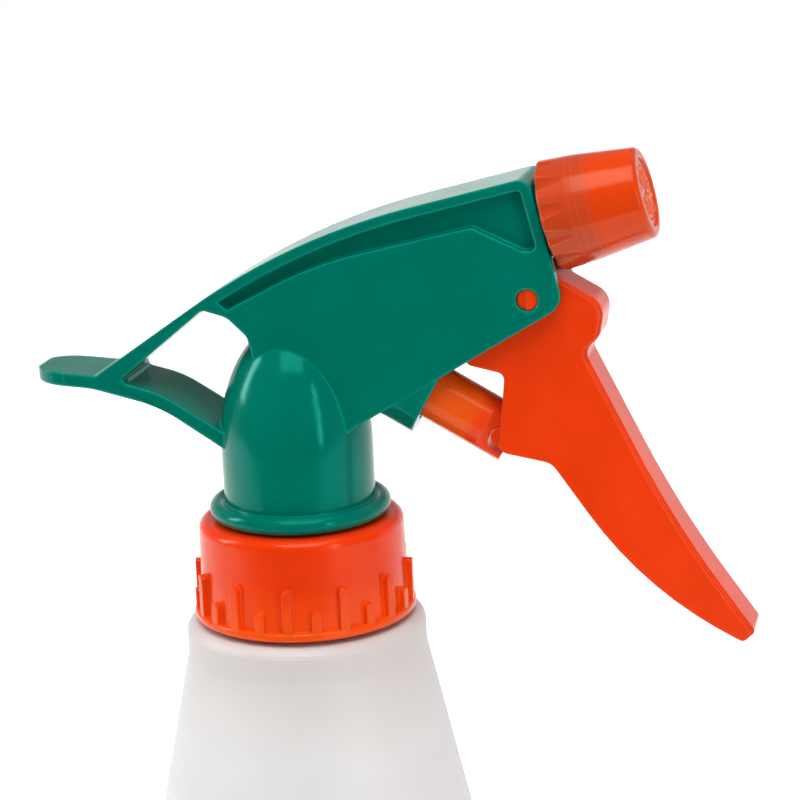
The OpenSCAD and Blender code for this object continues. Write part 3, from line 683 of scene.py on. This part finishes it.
def make_the_trigger():
    # Narrow crest and wider cheeks, which flare toward the tip
    trigger = plate("trigger_lever", trigger_outline(), CREST_SIDE)
    combine(trigger, plate("cheeks", trigger_outline(STEP), TIP_SIDE), "UNION")
    combine(trigger, rod("hub", *across(PIVOT, TIP_SIDE), HUB_R), "UNION")
    for vertex in trigger.data.vertices:
        y = abs(vertex.co.y / MM)
        if y > CREST_SIDE + 0.1:
            depth = (PIVOT.y - FLARE_START - vertex.co.z / MM + COLLAR_TOP) / FLARE_LENGTH
            width = TRIGGER_SIDE + (TIP_SIDE - TRIGGER_SIDE) * min(max(depth, 0), 1)
            vertex.co.y = math.copysign(width * MM, vertex.co.y)
    # The hollow behind the crest, with a solid tip
    back = Vector((-2.0, -0.36))
    inside = TRIGGER_SIDE - CHEEK_T
    combine(trigger, rod("hub_inside", *across(PIVOT + back, inside), HUB_R), "DIFFERENCE")
    hollow = plate("hollow", trigger_outline(back), inside)
    tip = [BLADE_TIP + Vector(p) for p in ((-4.5, 4), (4, 4), (4, -5), (-5.5, -5))]
    combine(hollow, plate("solid_tip", tip, 8), "DIFFERENCE")
    combine(trigger, hollow, "DIFFERENCE")
    room = [PIVOT + Vector(p) for p in ((-HUB_R, 2), (0, HUB_R), (-4, 8), (-14, 8), (-14, -12))]
    combine(trigger, plate("room_for_the_roof", room, inside), "DIFFERENCE")
    # The bar that pushes the piston, and the studs with their sloped ends
    combine(trigger, rod("cross_bar", *across(CROSS_BAR, inside + 0.2), CROSS_BAR_R), "UNION")
    for side in (-1, 1):
        inner, outer = side * (inside + 0.3), side * (SIDE - 0.25)
        stud = rod("stud", (PIVOT.x, inner, PIVOT.y), (PIVOT.x, outer, PIVOT.y), STUD_R)
        ramp = [PIVOT + Vector(p) for p in ((-0.2, 3), (-3, 3), (-3, -3), (-0.2, -3))]
        combine(stud, plate("lead_in", ramp, 0.35, side * (SIDE - 0.15)), "DIFFERENCE")
        combine(trigger, stud, "UNION")
    return trigger


orange_lever = plastic("orange_trigger", LEVER, LEVER_EDGE_HIGHLIGHT, 0.18, 0.15, 0.002, edge=0.0004,
                       sheen=ORANGE_SHEEN)
finish_piece(make_the_trigger(), orange_lever, "trigger", "trigger")


def make_the_piston():
    # Two flats on its end go between the trigger's cheeks
    piston = copy_of("piston", "piston_plunger")
    out = CROSS_BAR - 2.8 * PUMP
    up = Vector((-PUMP.y, PUMP.x))
    end = [out + 6 * up, out - 6 * up, out + 9 * PUMP - 6 * up, out + 9 * PUMP + 6 * up]
    for side in (-1, 1):
        cut = plate("flat", end, 2.0, side * (PLUNGER_FLAT + 2.0))
        combine(piston, cut, "DIFFERENCE")
    return piston


mouth_place = (PUMP_MOUTH.x * MM, 0, (PUMP_MOUTH.y + COLLAR_TOP) * MM)
orange_plunger = plastic("orange_piston", PLUNGER, PLUNGER_EDGE_HIGHLIGHT, 0.16, 0.3, 0.003,
                         second=(PLUNGER_END, mouth_place, PUMP_TILT, 0.0065, 0.009),
                         sheen=ORANGE_SHEEN)
finish_piece(make_the_piston(), orange_plunger, "piston", "piston")


# ---- Nozzle ----
# The turning nozzle is moulded in a clearer orange, so the spigot shows through its
# back. Its face holds a pressed-in disc with the spray hole.

FACE_FRONT, FACE_R, FACE_T = 15.35, 5.15, 0.85
GROOVE_R, CORE_R = 4.35, 3.95
BARS, BAR_START, BAR_END, BAR_R = 10, 1.6, 3.5, 0.28
CONE_R, HOLE_R = 1.0, 0.4
RING_PLACES, RING_SOFTNESS, RING_STRENGTH = (0.0052, 0.0062, 0.0078), 0.0003, 0.2
PALE_ORANGE = (0.9, 0.11, 0.03, 1)
CLEAR_ORANGE = (0.62, 0.06, 0.014, 1)
FULL_ORANGE = (0.82, 0.058, 0.003, 1)
nose_place = (NOSE.x * MM, 0, (NOSE.y + COLLAR_TOP) * MM)


def ringed_nozzle():
    # The wall is clear enough that the seal and the spigot's end show as rings
    # The second colour given here, (0.95, 0.2, 0.06), is a painted highlight for the nozzle's
    # rounded corners
    made = plastic("orange_nozzle", CLEAR_ORANGE, (0.95, 0.2, 0.06, 1), 0.16, 0.2, 0.002,
                   clear=0.1, edge=0.0005,
                   second=(FULL_ORANGE, nose_place, -SPRAY_TILT, 0.0068, 0.0095),
                   sheen=ORANGE_SHEEN)
    tree = made.node_tree
    skin = next(node for node in tree.nodes if node.type == "GROUP")
    coloured = skin.inputs["Colour"].links[0].from_socket
    along = next(node for node in tree.nodes if node.type == "SEPXYZ").outputs["X"]
    for place in RING_PLACES:
        gap = add_node(tree, "ShaderNodeMath", {0: along, 1: place}, operation="SUBTRACT")
        away = add_node(tree, "ShaderNodeMath", {0: gap.outputs[0]}, operation="ABSOLUTE")
        ring = add_node(tree, "ShaderNodeMapRange",
                        {"Value": away.outputs[0], "From Min": 0.0,
                         "From Max": RING_SOFTNESS, "To Min": RING_STRENGTH, "To Max": 0.0})
        ringed = add_node(tree, "ShaderNodeMix",
                          {0: ring.outputs[0], 6: coloured, 7: PALE_ORANGE},
                          data_type="RGBA")
        coloured = ringed.outputs[2]
    tree.links.new(coloured, skin.inputs["Colour"])
    return made


def radial(along, radius, turn):
    # A point beside the spray axis, at an angle round it from straight up
    x, _, z = spray_point(along, radius * math.cos(turn))
    return (x, radius * math.sin(turn), z)


def face_rod(name, start, end, radius, sides=48):
    # A round bar on the spray axis, by distances in front of the disc's face
    return rod(name, spray_point(FACE_FRONT + start), spray_point(FACE_FRONT + end),
               radius, sides)


def make_the_face():
    # A disc with a ring groove, short bars like spokes, and the spray hole
    face = face_rod("nozzle_face", -FACE_T, 0, FACE_R, 64)
    groove = face_rod("groove", -0.2, 1, GROOVE_R, 64)
    combine(groove, face_rod("core", -1, 2, CORE_R, 64), "DIFFERENCE")
    combine(face, groove, "DIFFERENCE")
    for number in range(BARS):
        turn = math.radians(360 / BARS * number)
        combine(face, rod("spoke", radial(FACE_FRONT, BAR_START, turn),
                          radial(FACE_FRONT, BAR_END, turn), BAR_R, 12), "UNION")
    combine(face, face_rod("cone", -0.25, 1, CONE_R), "DIFFERENCE")
    combine(face, face_rod("hole", -2, 1, HOLE_R), "DIFFERENCE")
    return face


dress("nozzle_cap", ringed_nozzle())
# The second colour here is a painted highlight for the face disc's rounded rim and corners
orange_face = plastic("orange_face", PALE_ORANGE, (0.95, 0.3, 0.15, 1), 0.25, 0.2, 0.002,
                      edge=0.0002)
finish_piece(make_the_face(), orange_face, "nozzle_cap", "orifice_disc")


# ---- Inner pieces ----
# Seals, valves, tube and springs are small mouldings in undyed plastic, rubber rings
# and drawn steel wire.

# Each second colour below is a painted highlight for the piece's rounded corners
natural = plastic("natural_plastic", (0.8, 0.8, 0.76, 1), (0.9, 0.9, 0.88, 1), 0.35, 0.3, 0.002)
for inner in ("neck_gasket", "tube_holder", "tube_strainer", "ball_cage", "piston_seal",
              "swirl_insert", "nozzle_seal"):
    dress(inner, natural)
dress("dip_tube", plastic("tube_plastic", (0.82, 0.85, 0.85, 1), (0.9, 0.92, 0.92, 1),
                          0.2, 0.1, 0.002, clear=0.6))
dress("spigot_o_ring", plastic("black_rubber", (0.01, 0.01, 0.01, 1), (0.02, 0.02, 0.02, 1),
                               0.5, 0.0, 0.001))


def steel():
    made, tree = new_material("steel")
    body = add_node(tree, "ShaderNodeBsdfPrincipled",
                    {"Base Color": (0.6, 0.61, 0.62, 1), "Metallic": 1.0,
                     "Roughness": spread(tree, noise(tree, 1500.0), 0.18, 0.3)})
    add_node(tree, "ShaderNodeOutputMaterial", {"Surface": body.outputs[0]})
    return made


polished = steel()
for part in ("inlet_ball", "return_spring", "outlet_ball", "outlet_spring"):
    dress(part, polished)
